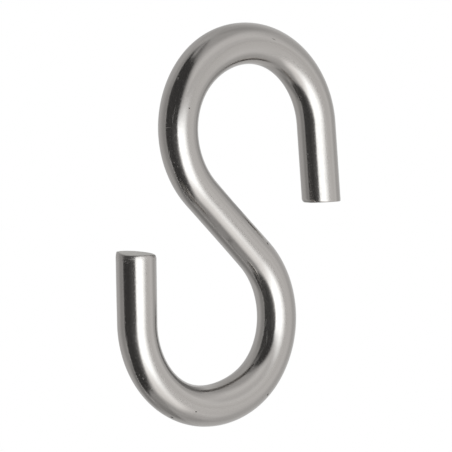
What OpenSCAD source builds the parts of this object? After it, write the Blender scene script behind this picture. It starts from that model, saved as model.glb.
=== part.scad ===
// S hook bent from one length of round bar.
//
// The bar follows a flat path in the XZ plane: a free leg, the upper bend, the slanted shank, the
// lower bend and the other free leg. The origin is the point inside the crown of the upper bend
// where the hook bears on what it hangs from. +Z is up, and the front is the -Y side.

/* [Bar] */
// Diameter of the round bar
bar_d = 6; // [3:0.5:8]

/* [Upper hook] */
// Radius inside the upper bend
upper_inner_r = 10.2; // [8:0.1:14]
// Straight length of the upper free leg
upper_leg = 12; // [6:0.1:18]
// Angle at which the upper free leg leans outwards
upper_lean = 5; // [0:0.5:15]

/* [Lower hook] */
// Radius inside the lower bend
lower_inner_r = 10; // [8:0.1:14]
// Straight length of the lower free leg
lower_leg = 10.4; // [6:0.1:18]
// Angle at which the lower free leg leans outwards
lower_lean = 1; // [0:0.5:15]

/* [Shank] */
// Straight length of the shank between the two bends
shank = 13.7; // [6:0.1:30]
// Angle between the shank and the vertical
shank_slant = 47.5; // [30:0.5:60]

/* [Sheared ends] */
// Angle by which each cut is out of square, the side that faces the shank being the shorter
cut_slant = 3; // [0:0.5:8]
// Angle by which the lower cut also faces the front
cut_tilt = 7; // [0:0.5:10]
// Radius to which the edge of a cut is worn
edge_r = 0.6; // [0.4:0.1:0.9]
// Shift of that rounding, which leaves the edge on the side of the shank rounder
rollover = 0.1; // [0:0.05:0.2]

/* [Hidden] */

// Facets round the bar and along a bend
bar_fn = 64;
bend_fn = 180;

// The straight runs reach a little way into the bends, which are a hair thicker than the bar, so
// that the lengths join as one solid
overlap = 0.3;
hair = 0.01;

bar_r = bar_d / 2;
upper_r = upper_inner_r + bar_r;
lower_r = lower_inner_r + bar_r;

// Angle that each bend turns through, from its free leg to the shank
upper_turn = 180 + shank_slant - upper_lean;
lower_turn = 180 + shank_slant - lower_lean;

// Centres of the bends and ends of the shank, as [x, z]
to_centre = [cos(shank_slant), sin(shank_slant)];
down_shank = [sin(shank_slant), -cos(shank_slant)];
upper_centre = [0, -upper_inner_r];
shank_top = upper_centre - upper_r * to_centre;
shank_foot = shank_top + shank * down_shank;
lower_centre = shank_foot - lower_r * to_centre;

// Outline of a cut end from its axis: a flat, the worn edge as a short arc, and a flare that
// stays clear of the bar below
worn_to = 20;
bar_meets_edge = 30;
flat_r = bar_r - edge_r * cos(bar_meets_edge);
flare_h = 30;
worn_edge = [for (a = [90 : -10 : worn_to]) [flat_r + edge_r * cos(a), edge_r * (sin(a) - 1)]];
flare = worn_edge[len(worn_edge) - 1] + flare_h * [tan(worn_to), -1];
end_outline = concat([[0, 0]], worn_edge, [flare, [0, flare[1]]]);

// Puts what is drawn along +Z at point p of the path, turned from +Z towards +X
module on_path(p, turned) {
    translate([p[0], 0, p[1]])
        rotate([0, turned, 0])
            children();
}

// A straight length of bar along +Z
module run(from, to) {
    translate([0, 0, from])
        cylinder(r = bar_r, h = to - from, $fn = bar_fn);
}

// A bend about the origin, anticlockwise seen from the front, starting at an angle above +X
module bend(r, start, turn) {
    rotate([90, -start, 0])
        rotate_extrude(angle = turn, $fn = bend_fn)
            translate([r, 0])
                circle(r = bar_r + hair, $fn = bar_fn);
}

// A free leg along +Z, with the shank on its +X side and a sheared end
module leg(length, tilt) {
    intersection() {
        run(-overlap, length + bar_r);
        translate([-rollover, 0, length])
            rotate([tilt, cut_slant, 0])
                rotate_extrude($fn = bar_fn)
                    polygon(end_outline);
    }
}

// The upper bend with its free leg
module upper_hook() {
    on_path(upper_centre, 0)
        bend(upper_r, upper_lean, upper_turn);
    on_path(upper_centre + upper_r * [cos(upper_lean), sin(upper_lean)], 180 - upper_lean)
        leg(upper_leg, 0);
}

// The lower bend with its free leg
module lower_hook() {
    on_path(lower_centre, 180)
        bend(lower_r, lower_lean, lower_turn);
    on_path(lower_centre - lower_r * [cos(lower_lean), sin(lower_lean)], -lower_lean)
        leg(lower_leg, cut_tilt);
}

module s_hook() {
    color("silver")
    union() {
        upper_hook();
        on_path(shank_top, 180 - shank_slant)
            run(-overlap, shank + overlap);
        lower_hook();
    }
}

s_hook();
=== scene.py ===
import math

import bpy
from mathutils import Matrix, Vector


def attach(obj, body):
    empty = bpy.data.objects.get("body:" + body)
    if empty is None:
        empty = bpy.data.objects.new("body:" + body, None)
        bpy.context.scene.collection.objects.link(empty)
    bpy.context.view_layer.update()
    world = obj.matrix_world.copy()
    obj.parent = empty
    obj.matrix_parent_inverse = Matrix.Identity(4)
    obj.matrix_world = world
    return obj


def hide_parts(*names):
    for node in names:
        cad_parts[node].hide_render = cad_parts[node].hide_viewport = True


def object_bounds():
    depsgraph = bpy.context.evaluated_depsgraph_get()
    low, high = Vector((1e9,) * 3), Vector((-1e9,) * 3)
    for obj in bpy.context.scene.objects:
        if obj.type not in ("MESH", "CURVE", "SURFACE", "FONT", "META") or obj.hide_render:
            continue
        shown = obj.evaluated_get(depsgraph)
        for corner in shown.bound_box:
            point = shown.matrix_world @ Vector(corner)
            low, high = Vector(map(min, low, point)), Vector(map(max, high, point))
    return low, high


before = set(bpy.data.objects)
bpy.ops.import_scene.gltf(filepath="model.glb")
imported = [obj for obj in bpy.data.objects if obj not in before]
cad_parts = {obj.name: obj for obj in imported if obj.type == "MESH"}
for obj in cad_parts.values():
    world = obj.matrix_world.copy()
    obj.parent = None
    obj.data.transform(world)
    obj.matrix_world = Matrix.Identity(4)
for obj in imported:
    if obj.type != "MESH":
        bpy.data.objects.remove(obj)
cad_low, cad_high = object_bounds()

MM = 0.001


# ---------------------------------------------------------------- the bar's path
# The same path as in part.scad, in millimetres, walked from the upper tip to the lower one. A run
# is straight, and a bend turns left when its angle is above zero. The radius is a hair under the
# solid's, so that the drawn bar stays inside the solid's box.
BAR_R = 2.996
UPPER_LEG, UPPER_R, UPPER_TURN = 12.0, 13.2, 222.5
SHANK = 13.7
LOWER_R, LOWER_TURN, LOWER_LEG = 13.0, -226.5, 10.4
UPPER_LEAN = 5.0
UPPER_CENTRE = (0.0, -10.2)

RUN, BEND = "run", "bend"
PATH = (
    (RUN, UPPER_LEG),
    (BEND, UPPER_R, UPPER_TURN),
    (RUN, SHANK),
    (BEND, LOWER_R, LOWER_TURN),
    (RUN, LOWER_LEG),
)

# The sheared ends, in millimetres and degrees. A cut slants towards the shank, tilts to the front
# and reaches past the end of the path. Its worn edge has a sharp and a round radius, with the
# middle and half the width of the sharp stretch given from the side of the shank towards the back.
# There the shear has also left dips and burrs, each as its middle, its spread and its height.
UPPER_CUT = {
    "slant": 2.0, "tilt": 0.0, "reach": 0.12,
    "sharp": 0.15, "round": 0.6, "middle": -70, "half": 62,
    "burrs": (),
}
LOWER_CUT = {
    "slant": 1.0, "tilt": 6.5, "reach": -0.03,
    "sharp": 0.15, "round": 0.4, "middle": -150, "half": 74,
    "burrs": ((-152, 30, -0.18), (-77, 28, 0.12)),
}
# Degrees round the bar over which a worn edge changes from sharp to round
EDGE_CHANGE = 30
# Shift of the rounding, which leaves the edge on the side of the shank rounder
ROLLOVER = 0.1
# How far before the end of the path the lower end starts to roll over, and how deep it goes there
ROLL_LENGTH, ROLL_DEPTH = 0.75, 0.08
# Where a worn edge ends in a flare, and where it meets the bar, as angles of its arc
WORN_TO = math.radians(20)
BAR_MEETS_EDGE = math.radians(30)
# Rounds in which the height of a worn cut is settled
SETTLE_ROUNDS = 12

# Where bending has thickened the bar or drawn it thinner, in millimetres, each as the length along
# the bar, how far that spreads, the side (+1 is left of the path and -1 right of it) and the change
# of radius. The first keeps the upper tip inside the solid's box.
SWELLS = (
    (0, 3, -1, -0.02),
    (37.5, 6.3, 1, 0.42),
    (40, 3.5, -1, 0.10),
    (68, 5, 1, -0.14),
    (63, 8, -1, -0.20),
    (75, 6, -1, -0.17),
    (104, 5.2, -1, 0.46),
    (99, 3.5, 1, 0.10),
    (116, 5, -1, -0.20),
    (125, 5, 1, -0.12),
)

# The mesh: a ring every so many millimetres, and so many points round it
RING_STEP = 0.23
ROUND = 112
# How far from each end of the path the even rings stop, and the steps from there to a cut's edge
LEAD, LEAD_STEPS = 1.6, 8
# The rings of a cut's face, by how far they lie inside its edge
INSETS = (
    0.0, 0.02, 0.04, 0.06, 0.09, 0.12, 0.15, 0.19, 0.24, 0.3, 0.37, 0.45, 0.55, 0.75,
    1.0, 1.35, 1.75, 2.15, 2.5, 2.8,
)
# Insets between which the bar's surface gives way to the sheared face
FACE_FROM, FACE_TO = 0.05, 0.3


def ramp(x, low, high):
    """0 below low, 1 above high, and a smooth step between."""
    t = min(1.0, max(0.0, (x - low) / (high - low)))
    return t * t * (3 - 2 * t)


def length_of(part):
    """The length along the bar of a run or bend."""
    return part[1] if part[0] == RUN else part[1] * math.radians(abs(part[2]))


LENGTH = sum(length_of(p) for p in PATH)


def walk(s):
    """The point of the path at length s, as x and z, and its heading from +X towards +Z."""
    lean = math.radians(UPPER_LEAN)
    x = UPPER_CENTRE[0] + UPPER_R * math.cos(lean) + UPPER_LEG * math.sin(lean)
    z = UPPER_CENTRE[1] + UPPER_R * math.sin(lean) - UPPER_LEG * math.cos(lean)
    heading = math.pi / 2 + lean
    for i, part in enumerate(PATH):
        last = i == len(PATH) - 1
        far = s if last else min(s, length_of(part))
        if part[0] == RUN:
            x += far * math.cos(heading)
            z += far * math.sin(heading)
        else:
            side = math.copysign(1, part[2])
            cx = x - side * part[1] * math.sin(heading)
            cz = z + side * part[1] * math.cos(heading)
            heading += side * far / part[1]
            x = cx + side * part[1] * math.sin(heading)
            z = cz - side * part[1] * math.cos(heading)
        s -= length_of(part)
        if s <= 0 and not last:
            break
    return x, z, heading


def swell(s, angle):
    """How much thicker the bar is at length s, at an angle from the left side of its path."""
    made = 0.0
    for place, spread, side, amount in SWELLS:
        facing = max(0.0, side * math.cos(angle))
        made += amount * facing**2 * math.exp(-(((s - place) / spread) ** 2) / 2)
    return made


def apart(a, b):
    """How far apart two directions in degrees are, from 0 to 180."""
    return abs((a - b + 180) % 360 - 180)


def cut_height(x, y, cut):
    """How far a cut end reaches past the end of the path at x, y across the bar, where +x is the
    side of the shank: a flat, slanted and tilted, with a worn edge."""
    tilt, slant = math.radians(cut["tilt"]), math.radians(cut["slant"])
    angle = math.degrees(math.atan2(y, x))
    sharp_to, round_from = cut["half"] - EDGE_CHANGE / 2, cut["half"] + EDGE_CHANGE / 2
    worn = ramp(apart(angle, cut["middle"]), sharp_to, round_from)
    edge_r = cut["sharp"] + (cut["round"] - cut["sharp"]) * worn
    across = Vector((math.cos(slant), 0, -math.sin(slant)))
    up = Vector(
        (math.cos(tilt) * math.sin(slant), -math.sin(tilt), math.cos(tilt) * math.cos(slant))
    )
    front = up.cross(across)
    # each round takes the worn profile at the last height
    h = 0.0
    for _ in range(SETTLE_ROUNDS):
        p = Vector((x + ROLLOVER, y, h))
        off = math.hypot(p.dot(across), p.dot(front))
        h += (worn_profile(off, edge_r) - p.dot(up)) / up.z
    # dips and burrs fade away from the edge and along it
    for middle, spread, height in cut["burrs"]:
        faded = math.exp(-((apart(angle, middle) / spread) ** 2))
        h += height * faded * (math.hypot(x, y) / BAR_R) ** 4
    return h + cut["reach"]


def worn_profile(off, edge_r):
    """Height of the cut at a distance from its axis: flat, then the worn edge, then a flare."""
    out = off - BAR_R + edge_r * math.cos(BAR_MEETS_EDGE)
    if out <= 0:
        return 0.0
    last = edge_r * math.cos(WORN_TO)
    if out <= last:
        return math.sqrt(edge_r**2 - out**2) - edge_r
    return edge_r * (math.sin(WORN_TO) - 1) - (out - last) / math.tan(WORN_TO)


# ---------------------------------------------------------------- the hook
def hook_mesh():
    """The bar swept along its path. Each point keeps its place on the straight bar, in
    millimetres, for the material to follow the bar round its bends, and how far it is on the face
    of a cut."""
    verts, faces, on_bar, on_face = [], [], [], []
    angles = [2 * math.pi * k / ROUND for k in range(ROUND)]

    def add(s, r, angle, face):
        """Adds the point at length s, at r from the middle and at an angle from the path's left."""
        x, z, heading = walk(s)
        over = max(0.0, (s - LENGTH + ROLL_LENGTH) / ROLL_LENGTH)
        r += (swell(s, angle) - ROLL_DEPTH * over**2) * min(1, r / BAR_R)
        left, lateral = r * math.cos(angle), r * math.sin(angle)
        verts.append(
            (
                (x - left * math.sin(heading)) * MM,
                lateral * MM,
                (z + left * math.cos(heading)) * MM,
            )
        )
        on_bar.append((left, lateral, s))
        on_face.append(face)

    def end_s(upper, r, angle):
        """Where along the bar the cut end lies, for a point across it."""
        side = 1 if upper else -1
        shape = UPPER_CUT if upper else LOWER_CUT
        h = cut_height(side * r * math.cos(angle), r * math.sin(angle), shape)
        return -h if upper else LENGTH + h

    def face_of(upper):
        """Rings of a cut's face, from its edge to its middle."""
        rows = []
        for inset in INSETS:
            r = BAR_R - inset
            face = min(1.0, max(0.0, (inset - FACE_FROM) / (FACE_TO - FACE_FROM)))
            rows.append([(end_s(upper, r, a), r, a, face) for a in angles])
        return rows

    def side_of(upper):
        """Rings between a cut's edge and the even rings of the bar."""
        rows = []
        for k in range(1, LEAD_STEPS):
            t = k / LEAD_STEPS
            even = LEAD if upper else LENGTH - LEAD
            rows.append(
                [((1 - t) * end_s(upper, BAR_R, a) + t * even, BAR_R, a, 0.0) for a in angles]
            )
        return rows

    count = round((LENGTH - 2 * LEAD) / RING_STEP)
    lengths = [LEAD + (LENGTH - 2 * LEAD) * k / count for k in range(count + 1)]
    rows = list(reversed(face_of(True))) + side_of(True)
    rows += [[(s, BAR_R, a, 0.0) for a in angles] for s in lengths]
    rows += list(reversed(side_of(False))) + face_of(False)

    rings = []
    for row in rows:
        rings.append(len(verts))
        for point in row:
            add(*point)
    for first, second in zip(rings, rings[1:]):
        for k in range(ROUND):
            m = (k + 1) % ROUND
            faces.append((first + k, first + m, second + m, second + k))
    for upper, start in ((True, rings[0]), (False, rings[-1])):
        middle = len(verts)
        add(end_s(upper, 0, 0), 0, 0, 1.0)
        for k in range(ROUND):
            m = (k + 1) % ROUND
            pair = (start + m, start + k) if upper else (start + k, start + m)
            faces.append((middle, *pair))

    mesh = bpy.data.meshes.new("steel_hook")
    mesh.from_pydata(verts, [], faces)
    place = mesh.attributes.new("bar", "FLOAT_VECTOR", "POINT")
    place.data.foreach_set("vector", [c for p in on_bar for c in p])
    mesh.attributes.new("cut", "FLOAT", "POINT").data.foreach_set("value", on_face)
    mesh.polygons.foreach_set("use_smooth", [True] * len(mesh.polygons))
    mesh.update()
    return mesh


hook = bpy.data.objects.new("steel_hook", hook_mesh())
bpy.context.scene.collection.objects.link(hook)
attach(hook, "root")
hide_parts("s_hook")


# ---------------------------------------------------------------- the steel
class Nodes:
    """A short way to write a node tree."""

    def __init__(self, tree):
        self.tree = tree
        tree.nodes.clear()

    def add(self, kind, inputs=None, **settings):
        """A new node, with its settings and with values or links for its inputs."""
        made = self.tree.nodes.new(kind)
        for key, value in settings.items():
            setattr(made, key, value)
        for key, value in (inputs or {}).items():
            self.put(value, made.inputs[key])
        return made

    def put(self, value, socket):
        """Gives a socket a value, or a link where the value is a socket itself."""
        if isinstance(value, bpy.types.NodeSocket):
            self.tree.links.new(value, socket)
        else:
            socket.default_value = value

    def math(self, operation, a, b):
        """The result of a sum, product or the like of two values."""
        return self.add("ShaderNodeMath", {0: a, 1: b}, operation=operation).outputs[0]

    def spread(self, value, from_min, from_max, to_min=0.0, to_max=1.0):
        """A value carried evenly from one range to another, and held at its ends."""
        made = self.add(
            "ShaderNodeMapRange",
            {
                "Value": value,
                "From Min": from_min,
                "From Max": from_max,
                "To Min": to_min,
                "To Max": to_max,
            },
        )
        return made.outputs["Result"]

    def grain(self, place, scale, detail):
        """Noise from 0 to 1 whose grain is 1 / scale along each axis."""
        mapped = self.add("ShaderNodeMapping", {"Vector": place, "Scale": scale})
        made = self.add(
            "ShaderNodeTexNoise",
            {"Vector": mapped.outputs[0], "Scale": 1.0, "Detail": detail, "Roughness": 0.55},
        )
        return made.outputs["Fac"]

    def mix(self, factor, a, b):
        """Colour a where the factor is 0, and b where it is 1."""
        made = self.add("ShaderNodeMix", data_type="RGBA")
        self.put(factor, made.inputs["Factor"])
        self.put(a, made.inputs[6])
        self.put(b, made.inputs[7])
        return made.outputs[2]


# Marks on the steel, in millimetres and degrees, each as the length along the bar, the angle from
# the left of its path, half the mark's length, half its width and its angle to the bar. Scratches
# and specks are dull, and pits are dull and painted near black, a painted shade of their hollows.
SCRATCHES = (
    (50.4, -139, 0.9, 0.05, 3),
    (51.3, -142, 0.8, 0.04, -6),
    (52.3, -156, 0.42, 0.05, 84),
    (55.6, -160, 0.5, 0.04, 20),
    (56.7, -151, 0.14, 0.10, 0),
    (57.3, -144, 0.10, 0.08, 0),
    (59.0, -151, 0.12, 0.08, 0),
    (60.4, -155, 0.55, 0.06, 28),
    (61.1, -152, 0.45, 0.05, -24),
    (61.6, -158, 0.60, 0.06, 14),
    (46.0, -154, 0.16, 0.12, 0),
    (88.6, -160, 0.7, 0.04, 5),
    (91.5, -150, 1.3, 0.05, -8),
    (121.3, -34, 0.14, 0.12, 0),
    (121.9, -28, 0.10, 0.08, 0),
    (119.6, -40, 0.25, 0.05, 70),
    (126.5, -21, 0.5, 0.04, 8),
    (137.4, -31, 0.30, 0.05, 72),
    (137.9, -40, 0.35, 0.06, 84),
    (137.6, -24, 0.25, 0.05, 60),
    (7.0, -128, 0.9, 0.04, 4),
    (17.6, -25, 0.12, 0.08, 0),
    (70.1, -80, 0.35, 0.12, 25),
    (70.9, -84, 0.25, 0.10, -15),
)
PITS = (
    (49.5, -97, 0.11, 0.11, 0),
    (76.2, -55, 0.22, 0.14, 20),
    (82.0, -38, 0.18, 0.12, 0),
    (99.2, -52, 0.20, 0.16, 0),
    (112.2, -69, 0.13, 0.10, 30),
    (114.2, -12, 0.22, 0.16, 0),
    (29.1, -103, 0.32, 0.035, 12),
)
# How far a mark reaches into the bar and out of it, so that it holds where the bar is swollen
MARK_DEPTH = 0.8
# How far before the lower end the bar starts to be worn dull, and from where it is fully so
DULL_FROM, DULL_TO = 1.3, 0.5
# Metres of relief for a height of 1 in the bump
RELIEF = 0.000004


def marks(n, place, listed, soft):
    """1 at the listed marks and 0 between them. Each is an ellipsoid through the bar's surface,
    and soft is the share of its size over which it fades on each side of its border."""
    found = 0.0
    for s, angle, length, width, slant in listed:
        turn = math.radians(angle)
        centre = (BAR_R * math.cos(turn), BAR_R * math.sin(turn), s)
        local = n.add(
            "ShaderNodeMapping",
            {
                "Vector": place,
                "Location": centre,
                "Rotation": (math.radians(slant), 0, turn),
                "Scale": (MARK_DEPTH, width, length),
            },
            vector_type="TEXTURE",
        )
        away = n.add("ShaderNodeVectorMath", {0: local.outputs[0]}, operation="LENGTH")
        mark = n.spread(away.outputs["Value"], 1.0 + soft, 1.0 - soft)
        found = n.math("MAXIMUM", found, mark)
    return found


def steel_material():
    """Bright drawn steel, with the marks of its making and its handling."""
    material = bpy.data.materials.new("steel")
    material.use_nodes = True
    n = Nodes(material.node_tree)
    place = n.add("ShaderNodeAttribute", attribute_name="bar").outputs["Vector"]
    cut = n.add("ShaderNodeAttribute", attribute_name="cut").outputs["Fac"]

    # broad and fine draw lines along the bar, clouds left by handling, faint waves of a surface
    # that isn't quite even, and fine mottling
    streaks = n.grain(place, (1.1, 1.1, 0.02), detail=1.0)
    lines = n.grain(place, (3.2, 3.2, 0.05), detail=1.0)
    clouds = n.grain(place, (0.35, 0.35, 0.12), detail=3.0)
    waves = n.grain(place, (0.55, 0.55, 0.35), detail=1.0)
    speckle = n.grain(place, (4.5, 4.5, 3.0), detail=2.0)
    scratched = marks(n, place, SCRATCHES, 0.5)
    pits_and_shade = marks(n, place, PITS, 0.35)

    # the colour: clean and dull steel, pits painted near black as painted shade, the paler sheared
    # face, and the dark burr round it
    base = (0.46, 0.44, 0.422, 1)
    dull = (0.40, 0.381, 0.363, 1)
    pit_shade = (0.05, 0.045, 0.04, 1)
    face = (0.60, 0.59, 0.56, 1)
    burr = (0.24, 0.23, 0.215, 1)
    colour = n.mix(n.spread(streaks, 0.35, 0.7), base, dull)
    colour = n.mix(n.spread(clouds, 0.4, 0.75, 0.0, 0.5), colour, dull)
    # painted shade: the pits are darkened nearly to black, in place of the shade in their hollows
    colour = n.mix(pits_and_shade, colour, pit_shade)
    colour = n.mix(n.spread(cut, 0.6, 1.0), colour, face)
    rim = n.math("MULTIPLY", n.spread(cut, 0.0, 0.3), n.spread(cut, 0.6, 0.9, 1.0, 0.0))
    colour = n.mix(rim, colour, burr)

    # the roughness: that of lines and clouds, and more at speckles, on the faces of the cuts, in
    # the band before the lower cut, in scratches and in pits
    roughness = n.math(
        "ADD", n.spread(lines, 0.3, 0.75, 0.10, 0.14), n.spread(clouds, 0.3, 0.7, 0.0, 0.03)
    )
    roughness = n.math("ADD", roughness, n.spread(speckle, 0.45, 0.75, 0.0, 0.14))
    roughness = n.math("ADD", roughness, n.spread(cut, 0.0, 1.0, 0.0, 0.2))
    along = n.add("ShaderNodeSeparateXYZ", {"Vector": place}).outputs["Z"]
    along = n.math("ADD", along, n.spread(speckle, 0.3, 0.7, -0.3, 0.3))
    band = n.spread(along, LENGTH - DULL_FROM, LENGTH - DULL_TO, 0.0, 0.2)
    roughness = n.math("ADD", roughness, band)
    roughness = n.math("ADD", roughness, n.math("MULTIPLY", scratched, 0.3))
    roughness = n.math("ADD", roughness, n.math("MULTIPLY", pits_and_shade, 0.4))

    # the relief: draw lines and waves, with scratches cut in
    height = n.math("ADD", n.math("MULTIPLY", lines, 0.15), n.math("MULTIPLY", streaks, 0.5))
    height = n.math("ADD", height, n.math("MULTIPLY", waves, 2.0))
    height = n.math("ADD", height, n.math("MULTIPLY", scratched, -1.0))
    bump = n.add("ShaderNodeBump", {"Height": height, "Strength": 1.0, "Distance": RELIEF})

    shader = n.add(
        "ShaderNodeBsdfPrincipled",
        {"Base Color": colour, "Metallic": 1.0, "Roughness": roughness, "Normal": bump.outputs[0]},
    )
    out = n.add("ShaderNodeOutputMaterial")
    n.put(shader.outputs[0], out.inputs["Surface"])
    return material


hook.data.materials.append(steel_material())


# ---------------------------------------------------------------- the camera
# It stands to the left of the front and just above level, and frames the hook as the photo does.
AZIMUTH, ELEVATION = math.radians(-37.0), math.radians(0.5)
DISTANCE = 400 * MM
AIM = Vector((-4.1, 0.2, -24.75)) * MM
LENS, SENSOR = 211.7, 36

to_camera = Vector(
    (
        math.sin(AZIMUTH) * math.cos(ELEVATION),
        -math.cos(AZIMUTH) * math.cos(ELEVATION),
        math.sin(ELEVATION),
    )
)
camera = bpy.data.objects.new("camera", bpy.data.cameras.new("camera"))
camera.data.lens = LENS
camera.data.sensor_width = SENSOR
camera.data.clip_start, camera.data.clip_end = 0.01, 100
camera.location = AIM + to_camera * DISTANCE
camera.rotation_mode = "QUATERNION"
camera.rotation_quaternion = (-to_camera).to_track_quat("-Z", "Y")
bpy.context.scene.collection.objects.link(camera)
bpy.context.scene.camera = camera


# ---------------------------------------------------------------- the studio
# What the steel mirrors: a pale tent all round, which is open to the white world on the camera's
# right, a dark flag on its left with a pale line along the far border, a softbox on its right, and
# narrow cards in the hook's own openings, which paint the reflections that the bar shows of itself
# there. Azimuths and elevations are in degrees.
WHITE = (1, 1, 1, 1)
COOL = (0.945, 0.98, 1, 1)
# Distances from the point that the camera looks at, in metres. The flag has its own at its top.
TENT, FLAG, FLAG_TOP, RIM, SOFTBOX = 0.32, 0.30, 0.12, 0.29, 0.28
SOFTBOX_LIGHT = 2.75
# The rows of a divider's points from front to back, in millimetres, each with how much it covers
DIVIDER_DEPTHS = ((-3.3, 0), (-2.9, 1), (0.7, 1), (1.1, 0))
DIVIDER_STEPS = 24


def toward(azimuth, elevation):
    """The direction at an azimuth, 0 to the camera and above zero to its right, and elevation."""
    a, e = math.radians(azimuth), math.radians(elevation)
    flat = Vector((to_camera.x, to_camera.y, 0)).normalized()
    right = Vector((-flat.y, flat.x, 0))
    return (flat * math.cos(a) + right * math.sin(a)) * math.cos(e) + Vector((0, 0, math.sin(e)))


def card(name, azimuths, elevations, distance, light, fade, held=None, tint=WHITE, step=2.0):
    """A curved card or softbox round the hook, seen only in its gloss. distance(e) is how far off
    it is, light(a, e) what it sends out and held(a, e) how much it covers at an azimuth and an
    elevation. fade gives its soft borders: left, right, low and high."""
    na = round((azimuths[1] - azimuths[0]) / step)
    ne = round((elevations[1] - elevations[0]) / step)
    verts, faces, glow, cover = [], [], [], []
    for j in range(ne + 1):
        for i in range(na + 1):
            a = azimuths[0] + (azimuths[1] - azimuths[0]) * i / na
            e = elevations[0] + (elevations[1] - elevations[0]) * j / ne
            verts.append(AIM + toward(a, e) * distance(e))
            glow.append(light(a, e))
            edges = (
                (a - azimuths[0], fade[0]),
                (azimuths[1] - a, fade[1]),
                (e - elevations[0], fade[2]),
                (elevations[1] - e, fade[3]),
            )
            shown = held(a, e) if held else 1.0
            for inside, soft in edges:
                shown *= ramp(inside, 0, soft) if soft else 1.0
            cover.append(shown)
    for j in range(ne):
        for i in range(na):
            k = j * (na + 1) + i
            faces.append((k, k + 1, k + na + 2, k + na + 1))
    stand(name, verts, faces, glow, cover, tint)


def stand(name, verts, faces, glow, cover, tint, other=None):
    """Sets up a card that only gloss shows, with its light and its cover given at each vertex.
    other is the light of its other side, where that isn't the same."""
    mesh = bpy.data.meshes.new(name)
    mesh.from_pydata(verts, [], faces)
    mesh.attributes.new("glow", "FLOAT", "POINT").data.foreach_set("value", glow)
    mesh.attributes.new("cover", "FLOAT", "POINT").data.foreach_set("value", cover)
    material = bpy.data.materials.new(name)
    material.use_nodes = True
    n = Nodes(material.node_tree)
    strength = n.add("ShaderNodeAttribute", attribute_name="glow").outputs["Fac"]
    shown = n.add("ShaderNodeAttribute", attribute_name="cover").outputs["Fac"]
    if other:
        mesh.attributes.new("other", "FLOAT", "POINT").data.foreach_set("value", other)
        side = n.add("ShaderNodeNewGeometry").outputs["Backfacing"]
        there = n.add("ShaderNodeAttribute", attribute_name="other").outputs["Fac"]
        strength = n.mix(side, strength, there)
    lamp = n.add("ShaderNodeEmission", {"Strength": strength, "Color": tint})
    mixed = n.add("ShaderNodeMixShader", {0: shown})
    n.put(n.add("ShaderNodeBsdfTransparent").outputs[0], mixed.inputs[1])
    n.put(lamp.outputs[0], mixed.inputs[2])
    n.put(mixed.outputs[0], n.add("ShaderNodeOutputMaterial").inputs["Surface"])
    mesh.materials.append(material)
    made = bpy.data.objects.new(name, mesh)
    made.visible_camera = made.visible_diffuse = made.visible_shadow = False
    made.visible_transmission = made.visible_volume_scatter = False
    bpy.context.scene.collection.objects.link(made)


def divider(name, ends, light, other_light):
    """A narrow card square to the path's plane in an opening of the hook, between two stretches of
    bar that would otherwise show each other: a painted reflection, with a dark and a pale side, that
    each stretch shows in place of the other. Its ends are in millimetres, as x and z, and its
    lights go by the way t from the first end to the second."""
    (x0, z0), (x1, z1) = ends
    verts, faces, glow, other, cover = [], [], [], [], []
    for j in range(DIVIDER_STEPS + 1):
        t = j / DIVIDER_STEPS
        for y, shown in DIVIDER_DEPTHS:
            verts.append(Vector((x0 + (x1 - x0) * t, y, z0 + (z1 - z0) * t)) * MM)
            glow.append(light(t))
            other.append(other_light(t))
            cover.append(shown * min(1.0, 0.5 * j, 0.5 * (DIVIDER_STEPS - j)))
    row = len(DIVIDER_DEPTHS)
    for j in range(DIVIDER_STEPS):
        for i in range(row - 1):
            k = row * j + i
            faces.append((k, k + 1, k + row + 1, k + row))
    stand(name, verts, faces, glow, cover, WHITE, other)


def window(a, e, azimuths, elevations, fade):
    """1 inside a window in the tent, 0 outside it and a smooth step over its border."""
    return (
        ramp(a, azimuths[0] - fade / 2, azimuths[0] + fade / 2)
        * ramp(azimuths[1] - a, -fade / 2, fade / 2)
        * ramp(e, elevations[0] - fade / 2, elevations[0] + fade / 2)
        * ramp(elevations[1] - e, -fade / 2, fade / 2)
    )


def tent_light(a, e):
    """The tent is evenly lit but for a bright shelf below the softbox, a paler patch beside that
    and several duller stretches."""
    shelf = window(a, e, (-5, 58), (-62, -30), 26)
    low_right = window(a, e, (50, 92), (-50, -24), 18)
    low_left = ramp(-e, 30, 50) * ramp(e, -68, -57) * ramp(a, -170, -125) * ramp(-a, -5, 35)
    under = ramp(-e, 60, 70) * (1 - 0.6 * ramp(a, -10, 20))
    over = ramp(e, 40, 66) * ramp(a, 0, 40)
    over_left = ramp(e, 55, 68) * ramp(a, -100, -80) * ramp(-a, -25, 10)
    beyond = ramp(e, 14, 30) * ramp(-a, -38, 0) * ramp(a, -40, -10)
    left = ramp(-a, 60, 100)
    beside = ramp(a, -122, -88) * ramp(-a, 40, 60) * ramp(e, -62, -40) * (1 - 0.35 * ramp(e, 20, 45))
    right_rim = ramp(a, 90, 112) * ramp(-a, -145, -130)
    behind = ramp(abs(a), 120, 165)
    return (
        0.80 + 0.75 * shelf + 0.14 * low_right - 0.10 * left - 0.32 * low_left - 0.28 * under
        - 0.16 * over - 0.22 * over_left - 0.30 * beyond - 0.25 * beside - 0.10 * right_rim
        - 0.04 * behind
    )


def tent_cover(a, e):
    """The tent is open on the camera's right, with a half-clear band across the opening."""
    high = ramp(e, 8, 30)
    opened = window(a, e, (20, 102 - 14 * high), (-30, 50), 26)
    band = window(a, e, (26, 78), (9, 27), 10)
    return 1 - opened * (1 - 0.62 * band)


def flag_distance(e):
    """The flag stands upright and leans in over the hook at its top."""
    return FLAG - (FLAG - FLAG_TOP) * ramp(e, 40, 62)


def flag_light(a, e):
    """The flag is nearly black, and a little paler at the right of its upper half."""
    return 0.065 + 0.065 * ramp(a, -44, -20) * ramp(-e, -14, 2)


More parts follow.
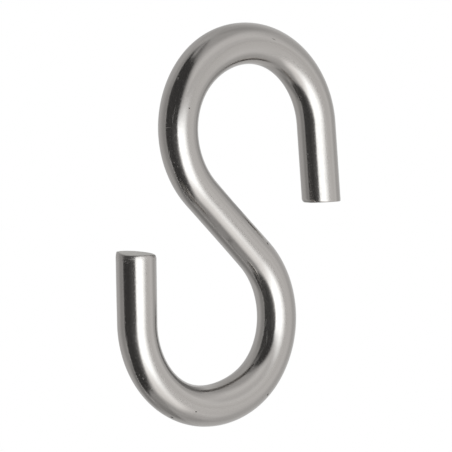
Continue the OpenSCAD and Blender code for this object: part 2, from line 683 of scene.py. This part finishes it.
def flag_cover(a, e):
    """The flag shifts to the left in its lower half, draws back on its right towards both ends,
    and its top falls away to the right. Its right side is the softer one."""
    low = ramp(-e, -20, 20)
    high = ramp(e, 14, 40)
    left = -77 + ramp(e, 0, 20) - 18 * ramp(-e, 24, 54)
    right = 3.5 - 15.5 * low + 4 * high - 14 * ramp(-e, 46, 62) - 16 * ramp(e, 53, 63)
    top = 72 - 4.5 * ramp(a, -62, -44) - 3 * ramp(a, -35, -10)
    soft_left = 3.5 + 4 * ramp(-e, 30, 50)
    soft_right = 4 + 5 * low + 5 * high
    across = ramp(a, left - soft_left, left + soft_left) * ramp(right - a, -soft_right, soft_right)
    return across * ramp(top - e, -2, 2)


def rim_light(a, e):
    """A pale line along the flag's left side, brighter towards both ends."""
    return 0.55 + 0.7 * ramp(-e, 14, 34) + 0.4 * ramp(e, 2, 14)


def rim_cover(a, e):
    """The line keeps to the flag's left side, and runs out beyond it at the bottom."""
    place = -77 - 36 * ramp(-e, 30, 66)
    return 1 - ramp(abs(a - place), 0.5, 2.0)


card("tent", (-180, 180), (-90, 90), lambda e: TENT, tent_light, (0, 0, 0, 0), tent_cover)
card(
    "flag_rim", (-120, -70), (-72, 30), lambda e: RIM,
    rim_light, (0, 0, 8, 14), rim_cover, step=0.5
)
card("dark_flag", (-118, 14), (-67, 76), flag_distance, flag_light, (0, 0, 5, 4), flag_cover)
card(
    "softbox", (-7.5, 59), (-49, 20), lambda e: SOFTBOX,
    lambda a, e: SOFTBOX_LIGHT, (6, 31, 24, 22), tint=COOL
)
# painted reflections: one upright card in each of the hook's openings, and a level one across the
# lower opening
divider("upper_divider", ((0, -23.5), (0, -3)), lambda t: 0.08, lambda t: 0.5)
divider(
    "lower_divider", ((-7.6, -47.5), (-7.6, -26)),
    lambda t: 0.08 + 0.42 * ramp(t, 0.46, 0.54), lambda t: 0.25 + 0.47 * ramp(t, 0.4, 0.6)
)
divider("flat_divider", ((-13.5, -38), (-3, -38)), lambda t: 0.07, lambda t: 0.5)


# ---------------------------------------------------------------- the ground
# The world is white, and the matt white floor is so far below that the hook's shadow on it isn't
# in the picture: how far below the hook it lies and half its width, in metres.
FLOOR_DROP, FLOOR_HALF = 0.30, 30.0

world = bpy.data.worlds.new("studio")
bpy.context.scene.world = world
world.use_nodes = True
world_nodes = Nodes(world.node_tree)
sky = world_nodes.add("ShaderNodeBackground", {"Color": WHITE, "Strength": 1.0})
world_nodes.put(sky.outputs[0], world_nodes.add("ShaderNodeOutputWorld").inputs["Surface"])

corners = ((-1, -1), (1, -1), (1, 1), (-1, 1))
floor_z = cad_low.z - FLOOR_DROP
floor_mesh = bpy.data.meshes.new("floor")
floor_mesh.from_pydata(
    [(x * FLOOR_HALF, y * FLOOR_HALF, floor_z) for x, y in corners], [], [(0, 1, 2, 3)]
)
floor_material = bpy.data.materials.new("floor")
floor_material.use_nodes = True
floor_nodes = Nodes(floor_material.node_tree)
matt = floor_nodes.add("ShaderNodeBsdfDiffuse", {"Color": WHITE})
floor_nodes.put(matt.outputs[0], floor_nodes.add("ShaderNodeOutputMaterial").inputs["Surface"])
floor_mesh.materials.append(floor_material)
floor = bpy.data.objects.new("floor", floor_mesh)
bpy.context.scene.collection.objects.link(floor)

bpy.context.scene.view_settings.view_transform = "Standard"
